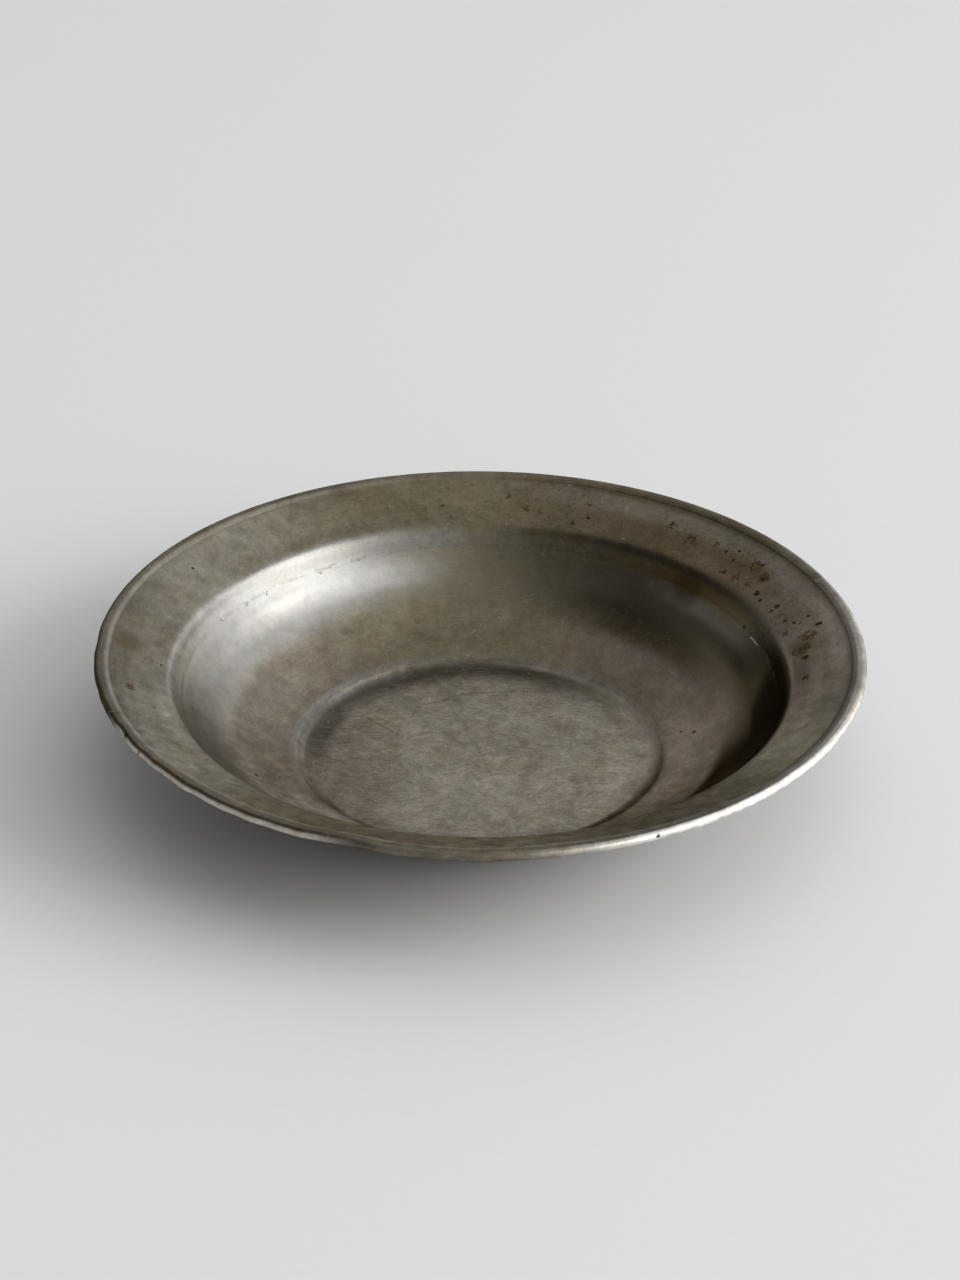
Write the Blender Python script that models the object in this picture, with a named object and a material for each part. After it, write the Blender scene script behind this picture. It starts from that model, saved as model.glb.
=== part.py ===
"""A round deep dish pressed from one steel sheet, its edge rolled over a ring of wire.

Metres, +Z up. The origin is the middle of the resting face, on the axis of the dish.
"""

from math import acos, atan2, ceil, cos, pi, radians, sin

import bmesh
import bpy

# Driving dimensions, in metres: the dish as a whole
DISH_DIAMETER = 0.260       # over the outside of the bead
SHEET_THICKNESS = 0.0006
FLANGE_WIDTH = 0.0255       # level width from the bend above the bowl to the outside of the bead
BOWL_DEPTH = 0.0292         # from the bend at the flange down to the brim of the recess

# The recess in the middle of the floor
DISC_DIAMETER = 0.1134      # flat disc, which the dish rests on
RECESS_DEPTH = 0.0034
RECESS_FOOT_RADIUS = 0.0075
RECESS_BRIM_RADIUS = 0.0030

# The bend between the bowl and the flange
BEND_RADIUS = 0.0045

# The rolled edge: a small step up, a narrow shoulder and a curl round the wire
EDGE_STEP_RADIUS = 0.0008
SHOULDER_WIDTH = 0.0023
WIRE_DIAMETER = 0.0016
WIRE_CLEARANCE = 0.0003     # between the wire and the curl round it
WIRE_END_GAP = 0.0020       # between the two ends of the bent wire

# Slopes and turns of the section, in degrees
BOWL_FOOT_SLOPE = 13.0      # of the ellipse's angle where the bowl leaves the recess
BOWL_TOP_SLOPE = 57.0       # of the ellipse's angle where the bowl meets the flange
FLANGE_SLOPE = 23.0
EDGE_STEP_SLOPE = 55.0
SHOULDER_SLOPE = 12.0
CURL_TURN = 282.0           # how far the sheet turns round the wire

# Facets
STEPS_PER_TURN = 72         # round the dish
BOWL_STEPS = 9              # up the bowl
ARC_STEP = 24.0             # most that one facet of a bend turns, in degrees
WIRE_SIDES = 12
SHARP_ANGLE = 40.0          # facets that meet more sharply than this show their edge
SETTLING_ROUNDS = 12        # in which the width of the recess and the start of the bowl agree

# Finishes: colour, then roughness
SHEET_COLOUR = (0.165, 0.150, 0.115)
SHEET_ROUGHNESS = 0.45
WIRE_COLOUR = (0.230, 0.220, 0.200)
WIRE_ROUGHNESS = 0.40

# Sizes that follow
HALF_SHEET = SHEET_THICKNESS / 2
CURL_RADIUS = WIRE_DIAMETER / 2 + WIRE_CLEARANCE + HALF_SHEET


class Section:
    """The middle of the sheet, drawn outwards in the r-z plane by pieces that join smoothly."""

    def __init__(self, r, z):
        self.points = [(r, z, 0.0)]

    def run(self, length):
        r, z, heading = self.points[-1]
        self.points.append((r + length * cos(heading), z + length * sin(heading), heading))

    def bend(self, radius, heading):
        """Turn to a new heading: upwards if it is greater than the present one, else downwards."""
        r, z, start = self.points[-1]
        side = radius if heading > start else -radius
        centre_r = r - side * sin(start)
        centre_z = z + side * cos(start)
        steps = max(2, ceil(abs(heading - start) / radians(ARC_STEP)))
        for step in range(1, steps + 1):
            angle = start + (heading - start) * step / steps
            self.points.append((centre_r + side * sin(angle), centre_z - side * cos(angle), angle))
        return centre_r, centre_z

    def ellipse(self, width, height, first, last, steps):
        """Rise along an ellipse between two of its angles, stretched to a width and a height."""
        r, z, _ = self.points[-1]
        across, up = ellipse_axes(width, height, first, last)
        for step in range(1, steps + 1):
            angle = first + (last - first) * step / steps
            self.points.append((
                r + across * (sin(angle) - sin(first)),
                z + up * (cos(first) - cos(angle)),
                atan2(up * sin(angle), across * cos(angle)),
            ))

    def skins(self):
        """The upper and the lower face of the sheet, as points (r, z)."""
        upper = [(r - HALF_SHEET * sin(h), z + HALF_SHEET * cos(h)) for r, z, h in self.points]
        lower = [(r + HALF_SHEET * sin(h), z - HALF_SHEET * cos(h)) for r, z, h in self.points]
        return upper, lower


def ellipse_axes(width, height, first, last):
    return width / (sin(last) - sin(first)), height / (cos(first) - cos(last))


def recess_slope(brim_heading):
    """The steepest slope of the recess's side, where its foot bend meets its brim bend."""
    rise = RECESS_FOOT_RADIUS + RECESS_BRIM_RADIUS * cos(brim_heading) - RECESS_DEPTH
    return acos(rise / (RECESS_FOOT_RADIUS + RECESS_BRIM_RADIUS))


def edge_width():
    """Level width from the foot of the edge step to the outside of the bead."""
    shoulder = radians(SHOULDER_SLOPE)
    step_sines = 2 * sin(radians(EDGE_STEP_SLOPE)) - sin(radians(FLANGE_SLOPE)) - sin(shoulder)
    bead_width = CURL_RADIUS * (1 + sin(shoulder)) + HALF_SHEET
    return EDGE_STEP_RADIUS * step_sines + SHOULDER_WIDTH * cos(shoulder) + bead_width


def dish_section():
    """The section of the whole dish, and the place of the wire in it."""
    first, last = radians(BOWL_FOOT_SLOPE), radians(BOWL_TOP_SLOPE)
    flange = radians(FLANGE_SLOPE)
    bowl_radius = DISH_DIAMETER / 2 - FLANGE_WIDTH

    # The recess is as wide as its two bends, whose meeting slope depends on how the bowl starts
    section = Section(DISC_DIAMETER / 2, HALF_SHEET)
    bowl_foot = first
    for _ in range(SETTLING_ROUNDS):
        side = recess_slope(bowl_foot)
        recess_width = (RECESS_FOOT_RADIUS + RECESS_BRIM_RADIUS) * sin(side)
        recess_width -= RECESS_BRIM_RADIUS * sin(bowl_foot)
        bowl_width = bowl_radius - DISC_DIAMETER / 2 - recess_width
        across, up = ellipse_axes(bowl_width, BOWL_DEPTH, first, last)
        bowl_foot = atan2(up * sin(first), across * cos(first))
    section.bend(RECESS_FOOT_RADIUS, side)
    section.bend(RECESS_BRIM_RADIUS, bowl_foot)
    section.ellipse(bowl_width, BOWL_DEPTH, first, last, BOWL_STEPS)

    section.bend(BEND_RADIUS, flange)
    flange_start = section.points[-1][0]
    flange_end = DISH_DIAMETER / 2 - edge_width()
    section.run((flange_end - flange_start) / cos(flange))
    section.bend(EDGE_STEP_RADIUS, radians(EDGE_STEP_SLOPE))
    section.bend(EDGE_STEP_RADIUS, radians(SHOULDER_SLOPE))
    section.run(SHOULDER_WIDTH)
    wire_place = section.bend(CURL_RADIUS, radians(SHOULDER_SLOPE - CURL_TURN))
    return section, wire_place


def steel(name, colour, roughness):
    material = bpy.data.materials.new(name)
    material.use_nodes = True
    shader = material.node_tree.nodes["Principled BSDF"]
    shader.inputs["Base Color"].default_value = (*colour, 1.0)
    shader.inputs["Metallic"].default_value = 1.0
    shader.inputs["Roughness"].default_value = roughness
    return material


def turned_object(name, outline, closed, start, turn, material):
    """Turn an outline of points (r, z) about the Z axis and close the holes that are left."""
    shape = bmesh.new()
    verts = [shape.verts.new((r * cos(start), r * sin(start), z)) for r, z in outline]
    edges = [shape.edges.new(pair) for pair in zip(verts, verts[1:])]
    if closed:
        edges.append(shape.edges.new((verts[-1], verts[0])))
    bmesh.ops.spin(
        shape,
        geom=verts + edges,
        cent=(0, 0, 0),
        axis=(0, 0, 1),
        angle=turn,
        steps=STEPS_PER_TURN,
        use_merge=turn == 2 * pi,
    )
    open_edges = [edge for edge in shape.edges if edge.is_boundary]
    bmesh.ops.holes_fill(shape, edges=open_edges, sides=0)
    bmesh.ops.recalc_face_normals(shape, faces=shape.faces)
    mesh = bpy.data.meshes.new(name)
    shape.to_mesh(mesh)
    shape.free()
    mesh.shade_smooth()
    mesh.set_sharp_from_angle(angle=radians(SHARP_ANGLE))
    mesh.materials.append(material)
    part = bpy.data.objects.new(name, mesh)
    bpy.context.scene.collection.objects.link(part)
    return part


def make_dish_shell(section):
    upper, lower = section.skins()
    outline = upper + lower[::-1]
    sheet_steel = steel("worn sheet steel", SHEET_COLOUR, SHEET_ROUGHNESS)
    return turned_object("dish_shell", outline, False, 0.0, 2 * pi, sheet_steel)


def make_rim_wire(place):
    """The wire ring, whose two ends stop short of each other."""
    centre_r, centre_z = place
    outline = []
    for side in range(WIRE_SIDES):
        angle = 2 * pi * side / WIRE_SIDES
        outline.append((
            centre_r + WIRE_DIAMETER / 2 * cos(angle),
            centre_z + WIRE_DIAMETER / 2 * sin(angle),
        ))
    gap = WIRE_END_GAP / centre_r
    wire_steel = steel("drawn wire", WIRE_COLOUR, WIRE_ROUGHNESS)
    return turned_object("rim_wire", outline, True, gap / 2, 2 * pi - gap, wire_steel)


def main():
    for old in list(bpy.data.objects):
        bpy.data.objects.remove(old, do_unlink=True)
    section, wire_place = dish_section()
    make_dish_shell(section)
    make_rim_wire(wire_place)


main()
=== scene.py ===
"""The looks of a worn round steel dish with a wired edge, standing on a pale floor.

Metres, +Z up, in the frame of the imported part. The camera comes first, because the marks of
wear are placed by where they show in the photograph. Directions round the dish are counted
from +X, which is right in the photograph, towards +Y, which is its back.
"""

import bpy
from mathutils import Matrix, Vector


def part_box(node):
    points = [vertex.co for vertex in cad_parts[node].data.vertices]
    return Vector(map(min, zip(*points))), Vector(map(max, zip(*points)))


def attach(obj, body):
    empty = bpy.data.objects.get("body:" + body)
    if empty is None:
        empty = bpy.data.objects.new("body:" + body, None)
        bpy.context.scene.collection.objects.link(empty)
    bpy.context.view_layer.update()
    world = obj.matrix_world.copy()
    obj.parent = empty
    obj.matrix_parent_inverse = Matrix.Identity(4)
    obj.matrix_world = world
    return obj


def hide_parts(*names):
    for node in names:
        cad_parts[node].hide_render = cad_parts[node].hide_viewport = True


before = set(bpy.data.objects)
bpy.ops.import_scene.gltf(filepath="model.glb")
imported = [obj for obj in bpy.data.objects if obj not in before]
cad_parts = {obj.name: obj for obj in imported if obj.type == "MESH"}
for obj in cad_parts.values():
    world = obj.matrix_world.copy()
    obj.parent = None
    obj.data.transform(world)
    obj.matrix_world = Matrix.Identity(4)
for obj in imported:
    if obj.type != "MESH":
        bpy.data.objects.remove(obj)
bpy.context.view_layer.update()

from math import acos, atan2, ceil, cos, pi, radians, sin

import bpy
import numpy as np
from mathutils import Matrix, Vector

# Section of the dish, as the part has it
SHEET_THICKNESS = 0.0006
FLANGE_WIDTH = 0.0255
BOWL_DEPTH = 0.0292
DISC_DIAMETER = 0.1134
RECESS_DEPTH = 0.0034
RECESS_FOOT_RADIUS = 0.0075
RECESS_BRIM_RADIUS = 0.0030
BEND_RADIUS = 0.0045
EDGE_STEP_RADIUS = 0.0008
SHOULDER_WIDTH = 0.0023
WIRE_DIAMETER = 0.0016
WIRE_CLEARANCE = 0.0003
BOWL_FOOT_SLOPE = radians(13.0)
BOWL_TOP_SLOPE = radians(57.0)
FLANGE_SLOPE = radians(23.0)
EDGE_STEP_SLOPE = radians(55.0)
SHOULDER_SLOPE = radians(12.0)
CURL_TURN = radians(282.0)
SETTLING_ROUNDS = 12

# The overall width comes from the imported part
DISH_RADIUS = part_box("dish_shell")[1][0]
DISC_RADIUS = DISC_DIAMETER / 2
HALF_SHEET = SHEET_THICKNESS / 2
CURL_RADIUS = WIRE_DIAMETER / 2 + WIRE_CLEARANCE + HALF_SHEET

# Fineness of the dish's mesh
STEPS_PER_TURN = 384
ARC_STEP = radians(9.0)
BOWL_STEPS = 64
FLANGE_STEPS = 14
SHOULDER_STEPS = 3
DISC_RINGS = 14
FIRST_RING = 0.4            # steps from the middle to the innermost ring
SHARP_ANGLE = radians(40.0)

# Camera: the photograph's frame in pixels, and the view that fits the dish's outline in it
FRAME_WIDTH = 960
FRAME_HEIGHT = 1280
FOCAL_PIXELS = 4200.0
SENSOR = 36.0
CAMERA_PITCH = radians(29.551)
CAMERA_ROLL = radians(-0.36)
CAMERA_ASIDE = -0.0018      # in dish radii, from the middle of the bead
CAMERA_LIFT = 0.0272
CAMERA_DISTANCE = 10.895
CAMERA_REACH = 100.0        # of its view, in metres
RAY_STEPS = 6000

# Light
KEY_AZIMUTH = radians(-13.0)
KEY_ELEVATION = radians(24.0)
KEY_DISTANCE = 4.0
KEY_SIZE = (3.0, 2.2)
KEY_POWER = 134.0
ROOM_LEVEL = 0.80           # of the room's light overhead
ROOM_TO_RIGHT = 0.46        # how much it gains towards +X
ROOM_TO_BACK = -0.14        # and towards +Y
ROOM_LEAST = 0.05
DARK_SIDE = (-0.75, -0.50, 0.43)    # the way to the room's dark corner
DARK_START = 0.45           # cosine of the angle from it at which the room starts to darken
DARK_END = 0.90
DARKENING = 0.80
FLOOR_HALF_WIDTH = 15.0
FLOOR_DROP = 0.00004        # keeps the floor clear of the worn resting face
FLOOR_COLOUR = (0.72, 0.72, 0.73)
FLOOR_TONES = (0.985, 1.015)
FLOOR_ROUGHNESS = (0.75, 0.85)

# Wear that bends the sheet, in metres
RIM_WARP = 0.00012
WARP_POWER = 3              # of the radius, by which the warp grows outwards
FLANGE_RIPPLE = 0.00010
FLOOR_RIPPLE = 0.00005
BEAD_LUMPS = 0.00002
WALL_LINE_RADIUS = 0.1008   # of a faint line round the wall
WALL_LINE_DEPTH = 0.00006
WALL_LINE_WIDTH = 0.0007

# Waves of that wear: how many go round the dish, where they start in radians, by how many
# radians per metre they turn outwards, and their share of the height
RIM_WAVES = (
    (2, 0.6 + pi / 2, 0.0, 1.0),
    (3, 1.9 + pi / 2, 0.0, 0.6),
)
FLANGE_WAVES = (
    (7, 0.4, 0.0, 1.0),
    (11, 2.1, 0.0, 0.7),
    (17, 4.0, 0.0, 0.5),
)
FLOOR_WAVES = (
    (5, 1.1, 0.0, 1.0),
    (9, 3.0, 60.0, 0.8),
)
BEAD_WAVES = (
    (31, 0.7, 0.0, 1.0),
    (53, 2.9, 0.0, 1.0),
    (87, 1.3, 0.0, 0.8),
)

# Radii over which that wear starts or ends
RIPPLED_FLANGE_START = (0.1040, 0.1090)
RIPPLED_FLANGE_END = (0.1245, 0.1200)
RIPPLED_FLOOR_START = (0.0660, 0.0740)
RIPPLED_FLOOR_END = (0.0960, 0.0880)
PUSHED_EDGE_START = (0.1225, 0.1255)
LIFTED_EDGE_START = (0.1130, 0.1262)
LUMPY_BEAD_START = (0.1252, 0.1262)

# The side on which the bead is most battered
BATTERED_SIDE = radians(232.0)
BATTERED_GAIN = 4.0
BATTERED_COSINES = (0.6, 0.95)      # of the angle from that side, where it starts and is full

# Colours of the metal and of what lies on it
FILM = (0.170, 0.148, 0.100)
DARK_FILM = (0.080, 0.068, 0.048)
UNDERSIDE = (0.155, 0.140, 0.112)
RUST = (0.048, 0.028, 0.010)
ORANGE_RUST = (0.115, 0.064, 0.018)
RUST_CORE = (0.012, 0.007, 0.003)
# colour of the painted shade and dirt in the groove of the edge step
GROOVE_SHADE_AND_GRIME = (0.058, 0.044, 0.029)
STAIN = (0.085, 0.058, 0.022)
# also the colour of the painted glints
SCRATCH_AND_GLINT = (0.380, 0.360, 0.320)
BARE = (0.900, 0.890, 0.860)

# Noise patterns: scale per metre, detail, and how rough the detail is
CLOUD_NOISE = (30.0, 4.0, 0.60)
WARMTH_NOISE = (75.0, 3.0, 0.55)
MOTTLE_NOISE = (190.0, 3.0, 0.60)
GLINT_NOISE = (330.0, 2.0, 0.60)
RUST_TINT_NOISE = (340.0, 2.0, 0.55)
SPECK_NOISE = (560.0, 2.0, 0.50)
FINE_NOISE = (620.0, 3.0, 0.65)
WANDER_NOISE = (640.0, 4.0, 0.65)
BREAK_NOISE = (900.0, 3.0, 0.60)
GRAIN_NOISE = (1700.0, 1.0, 0.55)
SCRATCH_BEND_NOISE = (30.0, 2.0, 0.55)
FLOOR_CLOUD_NOISE = (2.5, 3.0, 0.55)
FLOOR_GRAIN_NOISE = (260.0, 2.0, 0.55)
WIRE_CLOUD_NOISE = (120.0, 4.0, 0.60)
WIRE_RUST_NOISE = (260.0, 4.0, 0.65)
WIRE_GRAIN_NOISE = (1500.0, 2.0, 0.55)
NOISE_MIDDLE = 0.5

# The same for noise whose place is stretched beforehand
TURNED_NOISE = (1.0, 2.0, 0.60)
RAY_NOISE = (1.0, 2.0, 0.60)
PATCH_NOISE = (1.0, 5.0, 0.68)
SCRATCH_NOISE = (1.0, 2.0, 0.55)

# How places are stretched: round the dish and outwards, or along X, Y and Z
TURNED_STRETCH = (3.0, 1900.0)
RAY_STRETCH = (95.0, 90.0)
PATCH_STRETCH = (80.0, 62.0, 80.0)
PATCH_TURN = radians(9.0)
DRAWN_X = (1.0, 0.72)       # off the disc and on it
DRAWN_Y = (0.60, 1.0)
DRAWN_Z = 0.8

# Radii over which parts of the upper face start or end
DISC_END = (0.0620, 0.0575)
FLAT_END = (0.0580, 0.0535)
FLANGE_START = (0.1050, 0.1090)
GROOVE_START = (0.1230, 0.1250)
GROOVE_END = (0.1266, 0.1252)
BEAD_START = (0.1254, 0.1260)

# Film: the range of each pattern's tones, and how much of the fine ones is off the disc and on it
CLOUD_TONES = (0.45, 1.55)
MOTTLE_TONES = (0.55, 1.45)
TURNED_TONES = (0.85, 1.15)
FINE_AMOUNT = (0.55, 0.85)
GRAIN_AMOUNT = (0.36, 0.70)
WARM_RISE = (0.45, 0.65)
WARM_AMOUNT = 0.30
WARM_TINT = (0.95, 0.80, 0.62)
UNREST = (1.0, -1.20)       # of the patterns where the sheet is dull and where it is glossy
LEAST_UNREST = 0.15

# Scratches, marks across the flange, dull patches and painted glints. Pairs of amounts are off
# the disc and on it, and a rise is where in its noise a mark starts and is full
SCRATCH_BEND = 0.006        # metres
SCRATCH_SOFTNESS = 0.12
SCRATCH_AMOUNT = (0.16, 0.62)
FILLED_SHIFT = (0.31, 0.17, 0.0)
FILLED_AMOUNT = (0.12, 0.50)
RAY_RISE = (0.56, 0.70)
RAY_AMOUNT = 0.05
PATCH_RISE = (0.48, 0.66)
PATCH_AMOUNT = (0.12, 0.30)
GLINT_RISE = (0.69, 0.75)
GLINT_AMOUNT = 0.35

# Stains, and the painted shade and dirt in the groove of the edge step
STAIN_UNEVENNESS = (-0.5, 0.5)
STAIN_RISE = (0.25, 0.75)
STAIN_AMOUNT = 0.65
GROOVE_SHADE_TONES = (-0.10, 1.30)
GROOVE_SHADE_AMOUNT = 0.50

# Rust, strokes and pits: how far their outlines wander, in metres, then how they show
RUST_WANDER = 0.0046
STROKE_WANDER = 0.0020
PIT_WANDER = 0.0010
RUST_GROWTH = 1.35          # of a spot's radius, which its ragged outline then eats into
RUST_RISE = (0.08, 0.66)
RUST_BREAK = (0.22, 1.0)
RUST_AMOUNT = 0.92
RUST_TINT_RISE = (0.48, 0.62)
BREAK_RISE = (0.42, 0.54)
CORE_RISE = (0.45, 0.95)
CORE_BREAK = (0.55, 1.0)
CORE_AMOUNT = 0.95
SPECK_RISE = (0.58, 0.64)
SPECK_AMOUNT = 0.85
PIT_AMOUNT = 0.90
SPOT_CORE = 0.35            # share of a spot's radius that is full
STROKE_CORE = 0.20          # share of a stroke's half width that is full

# The line on the wall: distances from it where it starts and is full, and where it breaks
LINE_EDGE = (0.0007, 0.0001)
LINE_BREAK = (0.40, 0.55)
LINE_AMOUNT = 0.22

# Finish of the sheet, clean and corroded
METALLIC = (0.98, 0.15)
ROUGHNESS = (0.42, 0.72)
SPECULAR = (0.50, 0.05)
SPECULAR_TINT = (0.45, 0.42, 0.36, 1.0)
ROUGHNESS_SPREAD = (-0.12, 0.12)
GLOSS_SMOOTHING = 0.26
BEAD_ROUGHENING = 0.14

# Relief of the sheet: its depth in metres, and each pattern's share of it
RELIEF_DEPTH = 0.0002
RELIEF_STRENGTH = 0.5
MOTTLE_RELIEF = 0.25
FINE_RELIEF = 0.20
TURNED_RELIEF = 0.06
SCRATCH_RELIEF = 0.10
DING_RELIEF = 1.2
LINE_RELIEF = 0.3

# The wire: ranges of its tones, then clean and rusty
WIRE_CLOUD_TONES = (0.7, 1.3)
WIRE_GRAIN_TONES = (0.8, 1.2)
WIRE_RUST_RISE = (0.52, 0.66)
WIRE_RUST_AMOUNT = 0.7
WIRE_METALLIC = (0.9, 0.2)
WIRE_ROUGHNESS = (0.45, 0.85)
WIRE_RELIEF_DEPTH = 0.0001
WIRE_RELIEF_STRENGTH = 0.4

# Zones of the upper face: inner and outer radius, how softly they end across the dish,
# direction and spread in degrees, colour. A later zone covers an earlier one. The colours are
# partly the film's own tone and partly painted light: painted highlights and reflections of the
# window and the room, and painted shade
FILM_AND_LIGHT_ZONES = (
    # The disc and the recess, with painted shade on the side of the recess
    (0.0000, 0.0555, 0.0035, 0.0, 360.0, (0.336, 0.305, 0.260)),
    (0.0560, 0.0615, 0.0015, 320.0, 80.0, (0.315, 0.281, 0.236)),
    (0.0320, 0.0600, 0.0060, 185.0, 42.0, (0.255, 0.226, 0.186)),
    (0.0518, 0.0570, 0.0015, 270.0, 44.0, (0.258, 0.232, 0.195)),
    (0.0530, 0.0580, 0.0015, 245.0, 22.0, (0.220, 0.195, 0.160)),
    (0.0515, 0.0640, 0.0030, 95.0, 44.0, (0.200, 0.178, 0.145)),
    (0.0562, 0.0622, 0.0025, 92.0, 36.0, (0.056, 0.046, 0.034)),
    (0.0572, 0.0612, 0.0010, 306.0, 30.0, (0.085, 0.066, 0.046)),
    (0.0572, 0.0614, 0.0014, 144.0, 26.0, (0.080, 0.071, 0.059)),
    # The floor of the bowl and the brim of the recess: painted reflections and highlights, and painted
    # shade on the side of the recess
    (0.0640, 0.0900, 0.0060, 180.0, 50.0, (0.215, 0.190, 0.152)),
    (0.0640, 0.0900, 0.0060, 240.0, 40.0, (0.390, 0.335, 0.285)),
    (0.0640, 0.0900, 0.0060, 0.0, 60.0, (0.175, 0.142, 0.114)),
    (0.0640, 0.0870, 0.0035, 350.0, 28.0, (0.330, 0.275, 0.228)),
    (0.0620, 0.0790, 0.0030, 200.0, 10.0, (0.178, 0.158, 0.129)),
    (0.0620, 0.0760, 0.0030, 234.0, 12.0, (0.400, 0.346, 0.290)),
    (0.0590, 0.0655, 0.0015, 217.0, 5.0, (0.150, 0.132, 0.108)),
    (0.0629, 0.0650, 0.0009, 158.0, 40.0, (0.236, 0.228, 0.214)),
    (0.0606, 0.0626, 0.0007, 36.0, 40.0, (0.410, 0.360, 0.303)),
    (0.0528, 0.0606, 0.0018, 163.0, 16.0, (0.088, 0.079, 0.066)),
    (0.0604, 0.0628, 0.0008, 150.0, 20.0, (0.120, 0.114, 0.104)),
    (0.0602, 0.0630, 0.0008, 187.0, 13.0, (0.370, 0.345, 0.308)),
    # The wall: painted highlights of the window on its left and back, painted dark reflections and
    # shade on its right, and a brown stain
    (0.0880, 0.1040, 0.0060, 165.0, 30.0, (0.570, 0.552, 0.512)),
    (0.0860, 0.1020, 0.0050, 197.0, 22.0, (0.264, 0.246, 0.220)),
    (0.0900, 0.1085, 0.0060, 136.0, 30.0, (0.258, 0.257, 0.244)),
    (0.0878, 0.0985, 0.0040, 150.0, 26.0, (0.330, 0.326, 0.306)),
    (0.0922, 0.0982, 0.0020, 139.0, 30.0, (0.392, 0.386, 0.364)),
    (0.0974, 0.1008, 0.0012, 137.0, 9.0, (0.200, 0.199, 0.192)),
    (0.1008, 0.1060, 0.0006, 122.0, 26.0, (0.162, 0.160, 0.148)),
    (0.0985, 0.1045, 0.0015, 163.0, 12.0, (0.440, 0.430, 0.405)),
    (0.0870, 0.0970, 0.0042, 183.0, 11.0, (0.272, 0.258, 0.232)),
    (0.0860, 0.1050, 0.0050, 52.0, 26.0, (0.170, 0.146, 0.102)),
    (0.0815, 0.0925, 0.0030, 48.0, 22.0, (0.072, 0.056, 0.034)),
    (0.0900, 0.1040, 0.0022, 6.0, 30.0, (0.160, 0.130, 0.085)),
    (0.0825, 0.1050, 0.0030, 320.0, 34.0, (0.160, 0.130, 0.085)),
    (0.0915, 0.1036, 0.0022, 18.0, 12.0, (0.040, 0.033, 0.024)),
    (0.0962, 0.1018, 0.0018, 40.0, 10.0, (0.380, 0.348, 0.290)),
    (0.0850, 0.1045, 0.0030, 320.0, 18.0, (0.090, 0.072, 0.045)),
    (0.0820, 0.0900, 0.0025, 346.0, 8.0, (0.240, 0.192, 0.130)),
    (0.1000, 0.1032, 0.0010, 45.0, 13.0, (0.260, 0.168, 0.048)),
    (0.1036, 0.1050, 0.0007, 42.0, 34.0, (0.085, 0.070, 0.048)),
    # The flange and the bend below it: partly the film's own tone and partly painted reflections of the
    # room by direction, with painted highlights along the bend
    (0.1040, 0.1253, 0.0012, 190.0, 46.0, (0.205, 0.187, 0.154)),
    (0.1040, 0.1253, 0.0012, 208.0, 22.0, (0.300, 0.281, 0.244)),
    (0.1040, 0.1253, 0.0012, 132.0, 24.0, (0.262, 0.246, 0.200)),
    (0.1040, 0.1253, 0.0012, 95.0, 30.0, (0.160, 0.137, 0.088)),
    (0.1040, 0.1253, 0.0012, 45.0, 30.0, (0.126, 0.098, 0.061)),
    (0.1040, 0.1253, 0.0012, 0.0, 24.0, (0.182, 0.154, 0.130)),
    (0.1040, 0.1253, 0.0012, 332.0, 18.0, (0.330, 0.300, 0.250)),
    (0.1040, 0.1253, 0.0012, 270.0, 36.0, (0.240, 0.212, 0.165)),
    (0.1040, 0.1253, 0.0012, 305.0, 14.0, (0.180, 0.160, 0.125)),
    (0.1165, 0.1238, 0.0025, 30.0, 45.0, (0.190, 0.166, 0.136)),
    (0.1185, 0.1240, 0.0020, 0.0, 13.0, (0.270, 0.240, 0.208)),
    (0.1180, 0.1245, 0.0020, 180.0, 9.0, (0.165, 0.149, 0.118)),
    (0.1060, 0.1110, 0.0020, 0.0, 10.0, (0.130, 0.108, 0.088)),
    (0.1070, 0.1115, 0.0020, 30.0, 10.0, (0.178, 0.143, 0.100)),
    (0.1060, 0.1110, 0.0020, 203.0, 9.0, (0.390, 0.366, 0.322)),
    (0.1060, 0.1110, 0.0020, 120.0, 14.0, (0.150, 0.132, 0.096)),
    (0.1032, 0.1058, 0.0010, 136.0, 32.0, (0.180, 0.180, 0.171)),
    (0.1034, 0.1056, 0.0007, 0.0, 6.0, (0.460, 0.400, 0.320)),
    (0.1036, 0.1058, 0.0008, 184.0, 34.0, (0.390, 0.376, 0.348)),
    # The edge step, the shoulder and the bead: painted reflections by direction, a painted highlight
    # along the shoulder, painted shade in the groove and a dark smudge at the back right
    (0.1256, 0.1400, 0.0008, 90.0, 60.0, (0.160, 0.141, 0.101)),
    (0.1256, 0.1400, 0.0008, 190.0, 40.0, (0.170, 0.152, 0.124)),
    (0.1256, 0.1400, 0.0008, 225.0, 24.0, (0.150, 0.137, 0.114)),
    (0.1256, 0.1400, 0.0008, 270.0, 20.0, (0.160, 0.144, 0.114)),
    (0.1256, 0.1400, 0.0008, 0.0, 26.0, (0.175, 0.167, 0.152)),
    (0.1256, 0.1400, 0.0008, 318.0, 28.0, (0.148, 0.143, 0.133)),
    (0.1269, 0.1400, 0.0005, 350.0, 24.0, (0.460, 0.442, 0.406)),
    (0.1236, 0.1251, 0.0006, 188.0, 32.0, (0.110, 0.099, 0.080)),
    (0.1238, 0.1254, 0.0006, 325.0, 32.0, (0.120, 0.102, 0.076)),
    (0.1254, 0.1265, 0.0005, 162.0, 50.0, (0.360, 0.346, 0.318)),
    (0.1251, 0.1257, 0.0003, 268.0, 26.0, (0.290, 0.271, 0.233)),
    (0.1238, 0.1270, 0.0012, 50.0, 28.0, (0.085, 0.070, 0.042)),
)
ZONE_END = 18.0             # over which a zone fades round the dish, in degrees

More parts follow.
